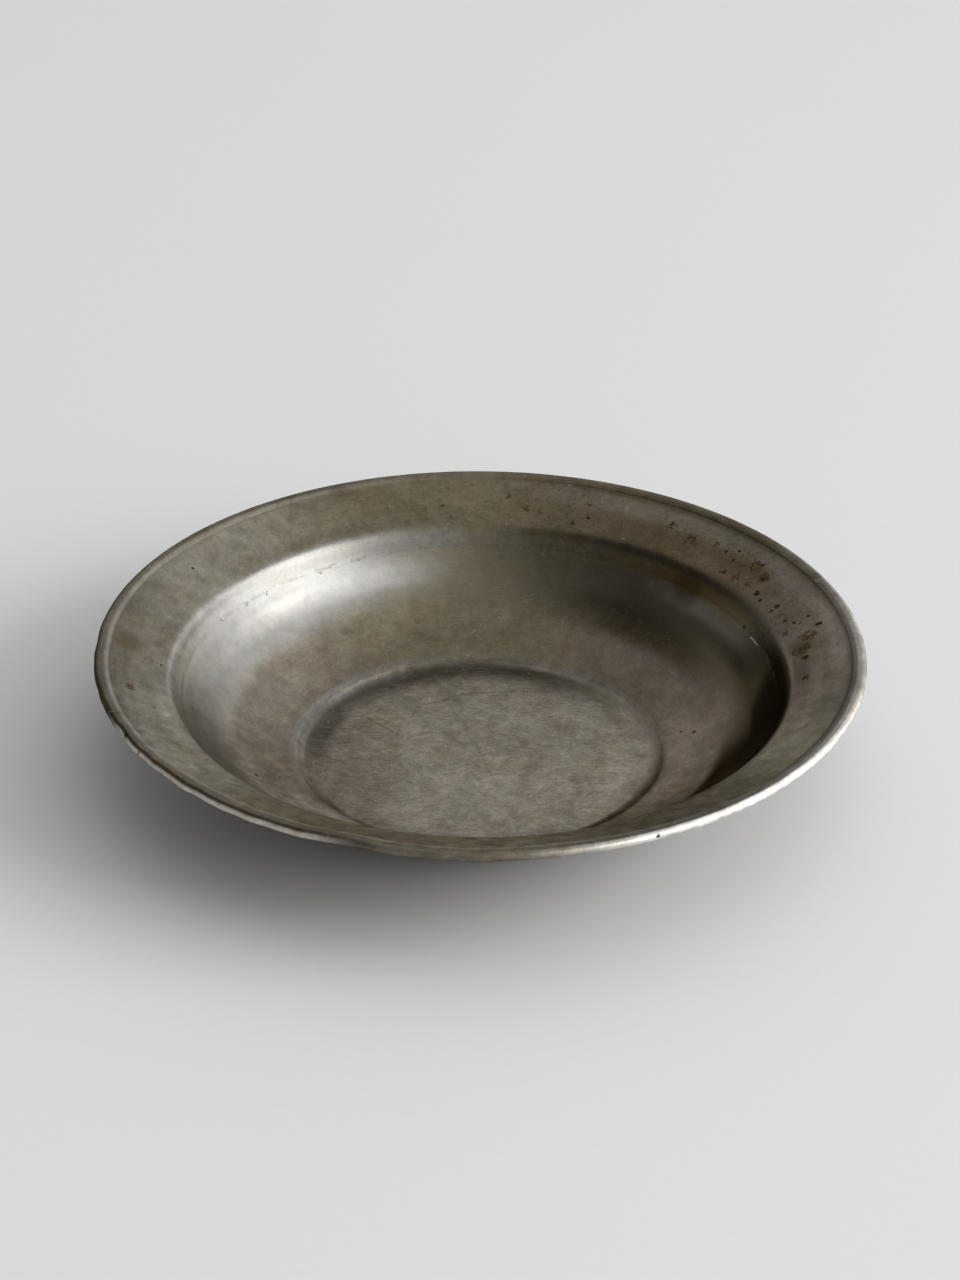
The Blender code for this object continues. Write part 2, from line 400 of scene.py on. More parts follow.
# Bands of painted reflection on the bead, light and dark: lowest and highest tilt of its face in
# degrees, where 90 faces up and 0 outwards, then direction, spread and how far it fades at both
# ends, and colour
BEAD_REFLECTION_BANDS = (
    (-90.0, 60.0, 150.0, 55.0, 18.0, (0.080, 0.070, 0.054)),
    (-90.0, 50.0, 42.0, 26.0, 18.0, (0.380, 0.360, 0.330)),
    (-90.0, 86.0, 0.0, 26.0, 18.0, (0.520, 0.500, 0.462)),
    (44.0, 82.0, 222.0, 29.0, 7.0, (0.078, 0.060, 0.040)),
    (-90.0, 38.0, 226.0, 23.0, 4.0, (0.600, 0.570, 0.520)),
    (-90.0, 80.0, 315.0, 25.0, 18.0, (0.690, 0.677, 0.648)),
    (-90.0, 40.0, 317.0, 26.0, 18.0, (0.960, 0.945, 0.910)),
)
BAND_EDGE = 6.0             # over which a band fades up and down, in degrees
SHOULDER_END = 0.1275       # the radius at which the bead starts to turn down
SHOULDER_FADE = 0.0004      # over which the bands fade there

# Where the sheet shines: inner and outer radius, how softly it ends, direction, spread, amount
GLOSS_ZONES = (
    (0.0860, 0.1045, 0.0050, 0.0, 360.0, 0.30),
    (0.0912, 0.1045, 0.0020, 8.0, 30.0, 1.00),
    (0.0822, 0.1045, 0.0025, 320.0, 34.0, 1.00),
    (0.0860, 0.1045, 0.0040, 42.0, 30.0, 0.50),
)

# Rust spots: photograph's pixel, radius in metres, and how dark the core is. Those with a solid
# core are compact dots and the others ragged patches
SOLID_CORE = 0.6
RUST_SPOTS = (
    (508, 495, 0.0014, 0.2),
    (526, 509, 0.0014, 0.2),
    (541, 513, 0.0010, 0.3),
    (572, 523, 0.0012, 0.3),
    (588, 518, 0.0009, 0.9),
    (590, 505, 0.0010, 0.4),
    (672, 525, 0.0020, 0.2),
    (691, 538, 0.0024, 0.1),
    (716, 544, 0.0014, 0.2),
    (726, 551, 0.0008, 0.9),
    (739, 551, 0.0009, 0.9),
    (733, 560, 0.0008, 0.9),
    (724, 571, 0.0013, 0.3),
    (757, 566, 0.0030, 0.3),
    (765, 577, 0.0026, 0.4),
    (735, 578, 0.0018, 0.2),
    (748, 584, 0.0013, 0.4),
    (757, 593, 0.0014, 1.0),
    (760, 600, 0.0009, 1.0),
    (777, 606, 0.0013, 1.0),
    (771, 611, 0.0009, 0.6),
    (785, 621, 0.0010, 0.9),
    (794, 623, 0.0009, 0.9),
    (808, 616, 0.0009, 0.6),
    (819, 624, 0.0014, 1.0),
    (785, 633, 0.0018, 0.1),
    (808, 636, 0.0030, 0.2),
    (806, 647, 0.0026, 0.3),
    (805, 658, 0.0017, 1.0),
    (799, 652, 0.0028, 0.0),
    (806, 678, 0.0016, 0.2),
    (130, 687, 0.0022, 0.5),
    (410, 501, 0.0006, 0.5),
    (425, 509, 0.0006, 0.5),
    (442, 506, 0.0007, 0.5),
    (139, 752, 0.0010, 0.0),
)

# Black pits: photograph's pixel and radius
PITS = (
    (256, 775, 0.0021),
    (126, 735, 0.0013),
    (658, 836, 0.0010),
    (694, 732, 0.0011),
    (681, 732, 0.0008),
    (161, 665, 0.0010),
    (744, 627, 0.0010),
    (193, 568, 0.0009),
    (280, 777, 0.0007),
)

# Strokes across the sheet: photograph's pixels of both ends, half width, and how light it is
STROKES = (
    (417, 707, 444, 700, 0.0007, -0.35),
    (444, 700, 462, 694, 0.0007, -0.40),
    (462, 694, 514, 691, 0.0007, -0.38),
    (514, 691, 551, 692, 0.0007, -0.30),
    (367, 718, 399, 735, 0.0006, -0.40),
    (374, 716, 388, 722, 0.0006, -0.30),
    (314, 753, 345, 763, 0.0007, -0.30),
    (474, 740, 487, 767, 0.0007, -0.22),
    (487, 767, 497, 784, 0.0007, -0.20),
    (467, 760, 467, 779, 0.0005, -0.20),
    (751, 637, 757, 645, 0.00045, 0.6),
)

# Scratches: direction in degrees, scale along and across them, and where in their noise they start
SCRATCHES = (
    (2.0, 60.0, 2400.0, 0.62),
    (-14.0, 75.0, 2600.0, 0.63),
    (24.0, 85.0, 2500.0, 0.63),
    (63.0, 85.0, 2000.0, 0.62),
    (118.0, 75.0, 2100.0, 0.62),
)

# Stains and pitted patches: photograph's pixel, radius, and how much of each
STAINS = (
    (128, 642, 0.0080, 0.9, 0.3),
    (341, 491, 0.0060, 0.7, 0.2),
    (158, 722, 0.0060, 0.1, 0.8),
    (745, 560, 0.0150, 0.6, 0.6),
    (790, 620, 0.0140, 0.5, 0.6),
    (803, 646, 0.0065, 0.9, 0.3),
    (760, 571, 0.0055, 0.8, 0.3),
    (690, 540, 0.0160, 0.6, 0.5),
    (560, 512, 0.0200, 0.5, 0.5),
    (689, 585, 0.0090, 1.0, 0.1),
    (640, 590, 0.0120, 0.6, 0.0),
    (440, 505, 0.0160, 0.2, 0.3),
    (380, 726, 0.0090, 0.5, 0.1),
    (345, 742, 0.0080, 0.5, 0.0),
    (452, 755, 0.0085, 0.5, 0.0),
    (240, 620, 0.0100, 0.1, 0.0),
    (150, 660, 0.0050, 0.1, 0.6),
)

# Dings along the line on the wall, which catch the light
DINGS = (
    (222, 618, 0.0009),
    (247, 604, 0.0008),
    (267, 594, 0.0006),
    (321, 572, 0.0008),
    (359, 560, 0.0006),
)

# Dents of the bead: photograph's pixel, depth inwards, lift, and width along the bead
BEAD_DENTS = (
    (97, 640, 0.00036, 0.0, 0.0062),
    (118, 735, 0.00020, 0.0, 0.0040),
    (135, 752, -0.00012, 0.0, 0.0040),
    (170, 778, 0.00014, 0.0, 0.0060),
    (215, 802, -0.00010, 0.0, 0.0050),
    (345, 838, 0.00036, 0.00064, 0.0120),
    (470, 856, -0.00020, -0.00030, 0.0150),
)


class Section:
    """The middle of the sheet, drawn outwards in the r-z plane by pieces that join smoothly."""

    def __init__(self, r, z):
        self.points = [(r, z, 0.0)]

    def run(self, length, steps):
        r, z, heading = self.points[-1]
        for step in range(1, steps + 1):
            along = length * step / steps
            self.points.append((r + along * cos(heading), z + along * sin(heading), heading))

    def bend(self, radius, heading):
        """Turn to a new heading: upwards if it is greater than the present one, else downwards."""
        r, z, start = self.points[-1]
        side = radius if heading > start else -radius
        centre_r = r - side * sin(start)
        centre_z = z + side * cos(start)
        steps = max(2, ceil(abs(heading - start) / ARC_STEP))
        for step in range(1, steps + 1):
            angle = start + (heading - start) * step / steps
            self.points.append((centre_r + side * sin(angle), centre_z - side * cos(angle), angle))
        return centre_r, centre_z

    def ellipse(self, width, height, first, last, steps):
        """Rise along an ellipse between two of its angles, stretched to a width and a height."""
        r, z, _ = self.points[-1]
        across, up = ellipse_axes(width, height, first, last)
        for step in range(1, steps + 1):
            angle = first + (last - first) * step / steps
            self.points.append((
                r + across * (sin(angle) - sin(first)),
                z + up * (cos(first) - cos(angle)),
                atan2(up * sin(angle), across * cos(angle)),
            ))

    def skin(self, side):
        """One face of the sheet as points (r, z): side 1 is the upper face, -1 the lower."""
        away = side * HALF_SHEET
        return [(r - away * sin(h), z + away * cos(h)) for r, z, h in self.points]


def ellipse_axes(width, height, first, last):
    return width / (sin(last) - sin(first)), height / (cos(first) - cos(last))


def recess_slope(brim_heading):
    """The steepest slope of the recess's side, where its foot bend meets its brim bend."""
    rise = RECESS_FOOT_RADIUS + RECESS_BRIM_RADIUS * cos(brim_heading) - RECESS_DEPTH
    return acos(rise / (RECESS_FOOT_RADIUS + RECESS_BRIM_RADIUS))


def edge_width():
    """Level width from the foot of the edge step to the outside of the bead."""
    step_sines = 2 * sin(EDGE_STEP_SLOPE) - sin(FLANGE_SLOPE) - sin(SHOULDER_SLOPE)
    bead_width = CURL_RADIUS * (1 + sin(SHOULDER_SLOPE)) + HALF_SHEET
    return EDGE_STEP_RADIUS * step_sines + SHOULDER_WIDTH * cos(SHOULDER_SLOPE) + bead_width


def dish_section():
    """The section from the rim of the disc to the end of the curl, and the curl's centre."""
    section = Section(DISC_RADIUS, HALF_SHEET)
    bowl_foot = BOWL_FOOT_SLOPE
    for _ in range(SETTLING_ROUNDS):
        side = recess_slope(bowl_foot)
        recess_width = (RECESS_FOOT_RADIUS + RECESS_BRIM_RADIUS) * sin(side)
        recess_width -= RECESS_BRIM_RADIUS * sin(bowl_foot)
        bowl_width = DISH_RADIUS - FLANGE_WIDTH - DISC_RADIUS - recess_width
        across, up = ellipse_axes(bowl_width, BOWL_DEPTH, BOWL_FOOT_SLOPE, BOWL_TOP_SLOPE)
        bowl_foot = atan2(up * sin(BOWL_FOOT_SLOPE), across * cos(BOWL_FOOT_SLOPE))
    section.bend(RECESS_FOOT_RADIUS, side)
    section.bend(RECESS_BRIM_RADIUS, bowl_foot)
    section.ellipse(bowl_width, BOWL_DEPTH, BOWL_FOOT_SLOPE, BOWL_TOP_SLOPE, BOWL_STEPS)
    section.bend(BEND_RADIUS, FLANGE_SLOPE)
    flange_start = section.points[-1][0]
    flange_end = DISH_RADIUS - edge_width()
    section.run((flange_end - flange_start) / cos(FLANGE_SLOPE), FLANGE_STEPS)
    section.bend(EDGE_STEP_RADIUS, EDGE_STEP_SLOPE)
    section.bend(EDGE_STEP_RADIUS, SHOULDER_SLOPE)
    section.run(SHOULDER_WIDTH, SHOULDER_STEPS)
    curl_centre = section.bend(CURL_RADIUS, SHOULDER_SLOPE - CURL_TURN)
    return section, curl_centre


SECTION, CURL_CENTRE = dish_section()
UPPER = SECTION.skin(1)
LOWER = SECTION.skin(-1)

# The upper face as heights over radii, as far as the outside of the bead
OUTERMOST = max(range(len(UPPER)), key=lambda index: UPPER[index][0])
FACE_RADII = [r for r, _ in UPPER[:OUTERMOST + 1]]
FACE_HEIGHTS = [z for _, z in UPPER[:OUTERMOST + 1]]
BELOW_ALL = -1.0            # a height outside the dish, which no ray meets

# The camera's directions and place
RIGHT = Vector((1.0, 0.0, 0.0))
FORWARD = Vector((0.0, cos(CAMERA_PITCH), -sin(CAMERA_PITCH)))
LEVEL_UP = Vector((0.0, sin(CAMERA_PITCH), cos(CAMERA_PITCH)))
ACROSS = RIGHT * cos(CAMERA_ROLL) - LEVEL_UP * sin(CAMERA_ROLL)
UPWARD = RIGHT * sin(CAMERA_ROLL) + LEVEL_UP * cos(CAMERA_ROLL)
BEAD_MIDDLE = Vector((0.0, 0.0, CURL_CENTRE[1]))
CAMERA_OFFSET = CAMERA_ASIDE * RIGHT + CAMERA_LIFT * LEVEL_UP - CAMERA_DISTANCE * FORWARD
CAMERA_PLACE = BEAD_MIDDLE + CAMERA_OFFSET * DISH_RADIUS


def place_camera():
    """The camera that sees the dish as the photograph does."""
    turn = Matrix((ACROSS, UPWARD, -FORWARD)).transposed().to_4x4()
    data = bpy.data.cameras.new("camera")
    data.lens = FOCAL_PIXELS / FRAME_HEIGHT * SENSOR
    data.sensor_width = SENSOR
    data.clip_end = CAMERA_REACH
    camera = bpy.data.objects.new("camera", data)
    camera.matrix_world = Matrix.Translation(CAMERA_PLACE) @ turn
    bpy.context.scene.collection.objects.link(camera)
    bpy.context.scene.camera = camera


def seen_at(pixel_x, pixel_y):
    """The point of the dish's upper face that shows at a pixel of the photograph."""
    aside = (pixel_x - FRAME_WIDTH / 2) / FOCAL_PIXELS
    lift = (FRAME_HEIGHT / 2 - pixel_y) / FOCAL_PIXELS
    ray = np.array(FORWARD + ACROSS * aside + UPWARD * lift)
    reach = CAMERA_DISTANCE * DISH_RADIUS
    along = np.linspace(reach - 2 * DISH_RADIUS, reach + 2 * DISH_RADIUS, RAY_STEPS)
    path = np.array(CAMERA_PLACE) + along[:, None] * ray
    face = np.interp(np.hypot(path[:, 0], path[:, 1]), FACE_RADII, FACE_HEIGHTS, right=BELOW_ALL)
    return path[np.argmax(path[:, 2] < face)]


class Graph:
    """Shader nodes: each method adds a node and returns the output to use."""

    # Places of a Mix node's colour sockets, whose names its other sockets share
    COLOUR_A, COLOUR_B, COLOUR_RESULT = 6, 7, 2

    def __init__(self, owner):
        owner.use_nodes = True
        self.tree = owner.node_tree

    def feed(self, socket, value):
        if isinstance(value, bpy.types.NodeSocket):
            self.tree.links.new(value, socket)
        elif isinstance(value, tuple) and len(value) < len(socket.default_value):
            socket.default_value = (*value, 1.0)
        else:
            socket.default_value = value

    def node(self, kind, **settings):
        made = self.tree.nodes.new(kind)
        for name, value in settings.items():
            setattr(made, name, value)
        return made

    def math(self, operation, first, second=0.0):
        made = self.node("ShaderNodeMath", operation=operation)
        self.feed(made.inputs[0], first)
        self.feed(made.inputs[1], second)
        return made.outputs[0]

    def vector(self, operation, first, second):
        made = self.node("ShaderNodeVectorMath", operation=operation)
        self.feed(made.inputs[0], first)
        self.feed(made.inputs[1], second)
        return made.outputs["Value" if operation in ("DOT_PRODUCT", "DISTANCE") else "Vector"]

    def plus(self, first, second):
        return self.math("ADD", first, second)

    def minus(self, first, second):
        return self.math("SUBTRACT", first, second)

    def times(self, first, *others):
        for other in others:
            first = self.math("MULTIPLY", first, other)
        return first

    def rise(self, value, low, high):
        """0 where the value is low, 1 where it is high, and smooth between."""
        made = self.node("ShaderNodeMapRange", interpolation_type="SMOOTHSTEP")
        self.feed(made.inputs["Value"], value)
        made.inputs["From Min"].default_value = low
        made.inputs["From Max"].default_value = high
        return made.outputs["Result"]

    def span(self, value, low, high):
        """The value's 0 to 1 stretched over another range."""
        made = self.node("ShaderNodeMapRange")
        self.feed(made.inputs["Value"], value)
        made.inputs["To Min"].default_value = low
        made.inputs["To Max"].default_value = high
        return made.outputs["Result"]

    def noise(self, place, pattern, output="Fac"):
        scale, detail, roughness = pattern
        made = self.node("ShaderNodeTexNoise")
        self.feed(made.inputs["Vector"], place)
        made.inputs["Scale"].default_value = scale
        made.inputs["Detail"].default_value = detail
        made.inputs["Roughness"].default_value = roughness
        return made.outputs[output]

    def stretched(self, place, turn, scale):
        """A place turned about Z and then scaled, for marks that run one way."""
        made = self.node("ShaderNodeMapping")
        self.feed(made.inputs["Vector"], place)
        made.inputs["Rotation"].default_value = (0.0, 0.0, turn)
        made.inputs["Scale"].default_value = scale
        return made.outputs["Vector"]

    def mix(self, amount, first, second, blend="MIX"):
        made = self.node("ShaderNodeMix", data_type="RGBA", blend_type=blend)
        self.feed(made.inputs["Factor"], amount)
        self.feed(made.inputs[self.COLOUR_A], first)
        self.feed(made.inputs[self.COLOUR_B], second)
        return made.outputs[self.COLOUR_RESULT]

    def most(self, values):
        top = values[0]
        for value in values[1:]:
            top = self.math("MAXIMUM", top, value)
        return top

    def stroke(self, place, start, end, half_width):
        """1 along a straight mark, 0 away from it."""
        course = end - start
        from_start = self.vector("SUBTRACT", place, tuple(start))
        share = self.vector("DOT_PRODUCT", from_start, tuple(course / course.dot(course)))
        held = self.node("ShaderNodeClamp")
        self.feed(held.inputs["Value"], share)
        reach = self.node("ShaderNodeVectorMath", operation="SCALE")
        reach.inputs[0].default_value = tuple(course)
        self.feed(reach.inputs["Scale"], held.outputs[0])
        away = self.vector("DISTANCE", from_start, reach.outputs["Vector"])
        return self.rise(away, half_width, half_width * STROKE_CORE)

    def spot(self, place, centre, radius):
        """1 at the middle of a spot, 0 outside it."""
        away = self.vector("DISTANCE", place, tuple(centre))
        return self.rise(away, radius, radius * SPOT_CORE)

    def emboss(self, shader, height, strength, depth):
        """Gives the shader's surface a relief."""
        bump = self.node("ShaderNodeBump")
        bump.inputs["Strength"].default_value = strength
        bump.inputs["Distance"].default_value = depth
        self.feed(bump.inputs["Height"], height)
        self.feed(shader.inputs["Normal"], bump.outputs["Normal"])


def light_from(name, azimuth, elevation, distance, size, power):
    """A rectangle of light that faces the dish."""
    data = bpy.data.lights.new(name, "AREA")
    data.shape = "RECTANGLE"
    data.size, data.size_y = size
    data.energy = power
    lamp = bpy.data.objects.new(name, data)
    away = Vector((cos(elevation) * cos(azimuth), cos(elevation) * sin(azimuth), sin(elevation)))
    lamp.location = away * distance
    lamp.rotation_euler = away.to_track_quat("Z", "Y").to_euler()
    bpy.context.scene.collection.objects.link(lamp)


def make_world():
    """A plain room, lighter to the right and with one dark corner."""
    world = bpy.data.worlds.new("room")
    bpy.context.scene.world = world
    graph = Graph(world)
    direction = graph.node("ShaderNodeTexCoord").outputs["Generated"]
    lean = graph.vector("DOT_PRODUCT", direction, (ROOM_TO_RIGHT, ROOM_TO_BACK, 0.0))
    level = graph.math("MAXIMUM", graph.plus(lean, ROOM_LEVEL), ROOM_LEAST)
    corner = graph.rise(graph.vector("DOT_PRODUCT", direction, DARK_SIDE), DARK_START, DARK_END)
    level = graph.times(level, graph.span(corner, 1.0, 1.0 - DARKENING))
    background = graph.tree.nodes["Background"]
    background.inputs["Color"].default_value = (1.0, 1.0, 1.0, 1.0)
    graph.feed(background.inputs["Strength"], level)


def make_floor_material():
    material = bpy.data.materials.new("pale floor")
    graph = Graph(material)
    shader = graph.tree.nodes["Principled BSDF"]
    place = graph.node("ShaderNodeTexCoord").outputs["Object"]
    cloud = graph.noise(place, FLOOR_CLOUD_NOISE)
    grain = graph.noise(place, FLOOR_GRAIN_NOISE)
    tone = graph.times(graph.span(cloud, *FLOOR_TONES), graph.span(grain, *FLOOR_TONES))
    graph.feed(shader.inputs["Base Color"], graph.mix(1.0, FLOOR_COLOUR, tone, "MULTIPLY"))
    graph.feed(shader.inputs["Roughness"], graph.span(cloud, *FLOOR_ROUGHNESS))
    return material


def make_floor():
    low, high = -FLOOR_HALF_WIDTH, FLOOR_HALF_WIDTH
    corners = [(x, y, -FLOOR_DROP) for x, y in ((low, low), (high, low), (high, high), (low, high))]
    mesh = bpy.data.meshes.new("floor")
    mesh.from_pydata(corners, [], [(0, 1, 2, 3)])
    mesh.materials.append(make_floor_material())
    floor = bpy.data.objects.new("floor", mesh)
    bpy.context.scene.collection.objects.link(floor)


class SheetGraph(Graph):
    """The nodes of the sheet's material: what its layers share, and the colour painted so far."""

    def __init__(self, material):
        super().__init__(material)
        self.place = self.node("ShaderNodeTexCoord").outputs["Object"]
        self.flat = self.vector("MULTIPLY", self.place, (1.0, 1.0, 0.0))
        self.radius = self.vector("DISTANCE", self.flat, (0.0, 0.0, 0.0))
        self.on_disc = self.rise(self.radius, *DISC_END)
        self.mottle = self.noise(self.place, MOTTLE_NOISE)
        wander = self.noise(self.place, WANDER_NOISE, "Color")
        self.wander = self.vector("SUBTRACT", wander, (NOISE_MIDDLE,) * 3)

        # What is painted on the points of the mesh
        self.colour = self.node("ShaderNodeAttribute", attribute_name="tone").outputs["Color"]
        wear = self.node("ShaderNodeAttribute", attribute_name="wear")
        split = self.node("ShaderNodeSeparateColor")
        self.feed(split.inputs["Color"], wear.outputs["Color"])
        self.stained = split.outputs["Red"]
        self.pitted = split.outputs["Green"]
        self.upper = split.outputs["Blue"]
        self.gloss = wear.outputs["Alpha"]
        self.unrest = self.math("MAXIMUM", self.span(self.gloss, *UNREST), LEAST_UNREST)

    def paint(self, amount, colour, blend="MIX"):
        self.colour = self.mix(amount, self.colour, colour, blend)

    def wandering(self, reach):
        """The place, moved this way and that, for marks with a ragged outline."""
        return self.vector("ADD", self.place, self.vector("MULTIPLY", self.wander, (reach,) * 3))

    def polar(self, round_scale, radial_scale):
        """A place that counts round the dish and outwards, for marks that run one way or the other."""
        ray = self.vector("DIVIDE", self.flat, self.radius)
        parts = self.node("ShaderNodeSeparateXYZ")
        self.feed(parts.inputs[0], self.vector("MULTIPLY", ray, (round_scale, round_scale, 0.0)))
        whole = self.node("ShaderNodeCombineXYZ")
        self.feed(whole.inputs["X"], parts.outputs["X"])
        self.feed(whole.inputs["Y"], parts.outputs["Y"])
        self.feed(whole.inputs["Z"], self.times(self.radius, radial_scale))
        return whole.outputs[0]


def scratch_marks(graph, place):
    """Fine straight marks in several directions, some long and some short."""
    sway = graph.noise(place, SCRATCH_BEND_NOISE, "Color")
    bent = graph.vector("ADD", place, graph.vector("MULTIPLY", sway, (SCRATCH_BEND,) * 3))
    marks = []
    for turn, length_scale, width_scale, threshold in SCRATCHES:
        drawn = graph.stretched(bent, radians(turn), (length_scale, width_scale, width_scale))
        lines = graph.noise(drawn, SCRATCH_NOISE)
        marks.append(graph.rise(lines, threshold, threshold + SCRATCH_SOFTNESS))
    return graph.most(marks)


def paint_film(sheet):
    """The film in large and small patches. Returns its fine pattern and its turning marks."""
    drawing = sheet.node("ShaderNodeCombineXYZ")
    sheet.feed(drawing.inputs["X"], sheet.span(sheet.on_disc, *DRAWN_X))
    sheet.feed(drawing.inputs["Y"], sheet.span(sheet.on_disc, *DRAWN_Y))
    drawing.inputs["Z"].default_value = DRAWN_Z
    drawn = sheet.vector("MULTIPLY", sheet.place, drawing.outputs[0])
    fine = sheet.noise(drawn, FINE_NOISE)
    grain = sheet.noise(drawn, GRAIN_NOISE)
    turned = sheet.noise(sheet.polar(*TURNED_STRETCH), TURNED_NOISE)
    cloud = sheet.noise(sheet.place, CLOUD_NOISE)

    light = sheet.times(sheet.span(cloud, *CLOUD_TONES), sheet.span(sheet.mottle, *MOTTLE_TONES))
    for pattern, amount in ((fine, FINE_AMOUNT), (grain, GRAIN_AMOUNT)):
        sand = sheet.times(sheet.minus(pattern, NOISE_MIDDLE), sheet.span(sheet.on_disc, *amount))
        light = sheet.times(light, sheet.plus(sand, 1.0))
    light = sheet.times(light, sheet.span(turned, *TURNED_TONES))
    light = sheet.plus(sheet.times(sheet.minus(light, 1.0), sheet.unrest), 1.0)
    sheet.paint(1.0, light, "MULTIPLY")
    warm = sheet.rise(sheet.noise(sheet.place, WARMTH_NOISE), *WARM_RISE)
    sheet.paint(sheet.times(warm, sheet.unrest, WARM_AMOUNT), WARM_TINT, "MULTIPLY")
    return fine, turned


def paint_scratches(sheet):
    """Scratches, bright or filled with dirt and clearest on the flat disc. Returns the bright ones."""
    on_flat = sheet.rise(sheet.radius, *FLAT_END)
    bright = scratch_marks(sheet, sheet.place)
    sheet.paint(sheet.times(bright, sheet.span(on_flat, *SCRATCH_AMOUNT)), SCRATCH_AND_GLINT)
    filled = scratch_marks(sheet, sheet.vector("ADD", sheet.place, FILLED_SHIFT))
    sheet.paint(sheet.times(filled, sheet.span(on_flat, *FILLED_AMOUNT)), DARK_FILM)
    return bright


def paint_rays(sheet):
    """Faint marks that cross the flange."""
    rays = sheet.rise(sheet.noise(sheet.polar(*RAY_STRETCH), RAY_NOISE), *RAY_RISE)
    on_flange = sheet.rise(sheet.radius, *FLANGE_START)
    sheet.paint(sheet.times(rays, on_flange, RAY_AMOUNT), SCRATCH_AND_GLINT)


def paint_dull_patches(sheet):
    patches = sheet.noise(sheet.stretched(sheet.place, PATCH_TURN, PATCH_STRETCH), PATCH_NOISE)
    dull = sheet.times(sheet.rise(patches, *PATCH_RISE), sheet.span(sheet.on_disc, *PATCH_AMOUNT))
    sheet.paint(dull, DARK_FILM)


def paint_glints(sheet):
    """Painted glints: small bright specks of painted highlight."""
    glints = sheet.rise(sheet.noise(sheet.place, GLINT_NOISE), *GLINT_RISE)
    sheet.paint(sheet.times(glints, sheet.upper, sheet.unrest, GLINT_AMOUNT), SCRATCH_AND_GLINT)


def paint_stains(sheet):
    uneven = sheet.plus(sheet.stained, sheet.span(sheet.mottle, *STAIN_UNEVENNESS))
    stains = sheet.times(sheet.rise(uneven, *STAIN_RISE), sheet.stained)
    sheet.paint(sheet.times(stains, STAIN_AMOUNT), STAIN)


def paint_groove_shade_and_grime(sheet):
    """Darkens the groove of the edge step with painted shade and dirt. Returns where it is."""
    groove = sheet.times(sheet.rise(sheet.radius, *GROOVE_START), sheet.rise(sheet.radius, *GROOVE_END))
    groove_shade_and_dirt = sheet.times(groove, sheet.span(sheet.mottle, *GROOVE_SHADE_TONES), sheet.upper)
    sheet.paint(sheet.times(groove_shade_and_dirt, GROOVE_SHADE_AMOUNT), GROOVE_SHADE_AND_GRIME)
    return groove_shade_and_dirt


def paint_rust(sheet):
    """Rust spots with dark cores, and specks where the sheet is pitted. Returns both."""
    ragged_place = sheet.wandering(RUST_WANDER)
    compact_place = sheet.wandering(PIT_WANDER)
    spots = []
    cores = []
    for pixel_x, pixel_y, size, dark in RUST_SPOTS:
        place = compact_place if dark >= SOLID_CORE else ragged_place
        spot = sheet.spot(place, seen_at(pixel_x, pixel_y), size * RUST_GROWTH)
        spots.append(spot)
        cores.append(sheet.times(sheet.rise(spot, *CORE_RISE), dark))
    broken = sheet.rise(sheet.noise(sheet.place, BREAK_NOISE), *BREAK_RISE)
    rust = sheet.times(sheet.most(spots), sheet.upper, sheet.span(broken, *RUST_BREAK))
    rust = sheet.rise(rust, *RUST_RISE)
    core = sheet.times(sheet.most(cores), sheet.upper, sheet.span(broken, *CORE_BREAK))
    specks = sheet.rise(sheet.noise(sheet.place, SPECK_NOISE), *SPECK_RISE)
    specks = sheet.times(specks, sheet.pitted, sheet.upper)
    tint = sheet.rise(sheet.noise(sheet.place, RUST_TINT_NOISE), *RUST_TINT_RISE)
    sheet.paint(sheet.times(rust, RUST_AMOUNT), sheet.mix(tint, RUST, ORANGE_RUST))
    sheet.paint(sheet.times(specks, SPECK_AMOUNT), RUST_CORE)
    sheet.paint(sheet.times(core, CORE_AMOUNT), RUST_CORE)
    return rust, specks


def paint_strokes(sheet):
    """Single strokes, dark or bare. Returns the bare ones."""
    place = sheet.wandering(STROKE_WANDER)
    bared = []
    for from_x, from_y, to_x, to_y, half_width, lightness in STROKES:
        mark = sheet.stroke(place, seen_at(from_x, from_y), seen_at(to_x, to_y), half_width)
        mark = sheet.times(mark, abs(lightness))
        sheet.paint(mark, BARE if lightness > 0 else DARK_FILM)
        if lightness > 0:
            bared.append(mark)
    return bared


def paint_pits(sheet):
    """Black pits. Returns where they are."""
    place = sheet.wandering(PIT_WANDER)
    pits = sheet.most([sheet.spot(place, seen_at(x, y), size) for x, y, size in PITS])
    pits = sheet.times(pits, sheet.upper)
    sheet.paint(sheet.times(pits, PIT_AMOUNT), RUST_CORE)
    return pits


def paint_wall_line(sheet):
    """The broken line on the wall. Returns where it is."""
    away = sheet.math("ABSOLUTE", sheet.minus(sheet.radius, WALL_LINE_RADIUS))
    line = sheet.times(sheet.rise(away, *LINE_EDGE), sheet.rise(sheet.mottle, *LINE_BREAK), sheet.upper)
    sheet.paint(sheet.times(line, LINE_AMOUNT), DARK_FILM)
    return line


def wall_dings(sheet):
    place = sheet.wandering(RUST_WANDER)
    return sheet.most([sheet.spot(place, seen_at(x, y), size) for x, y, size in DINGS])


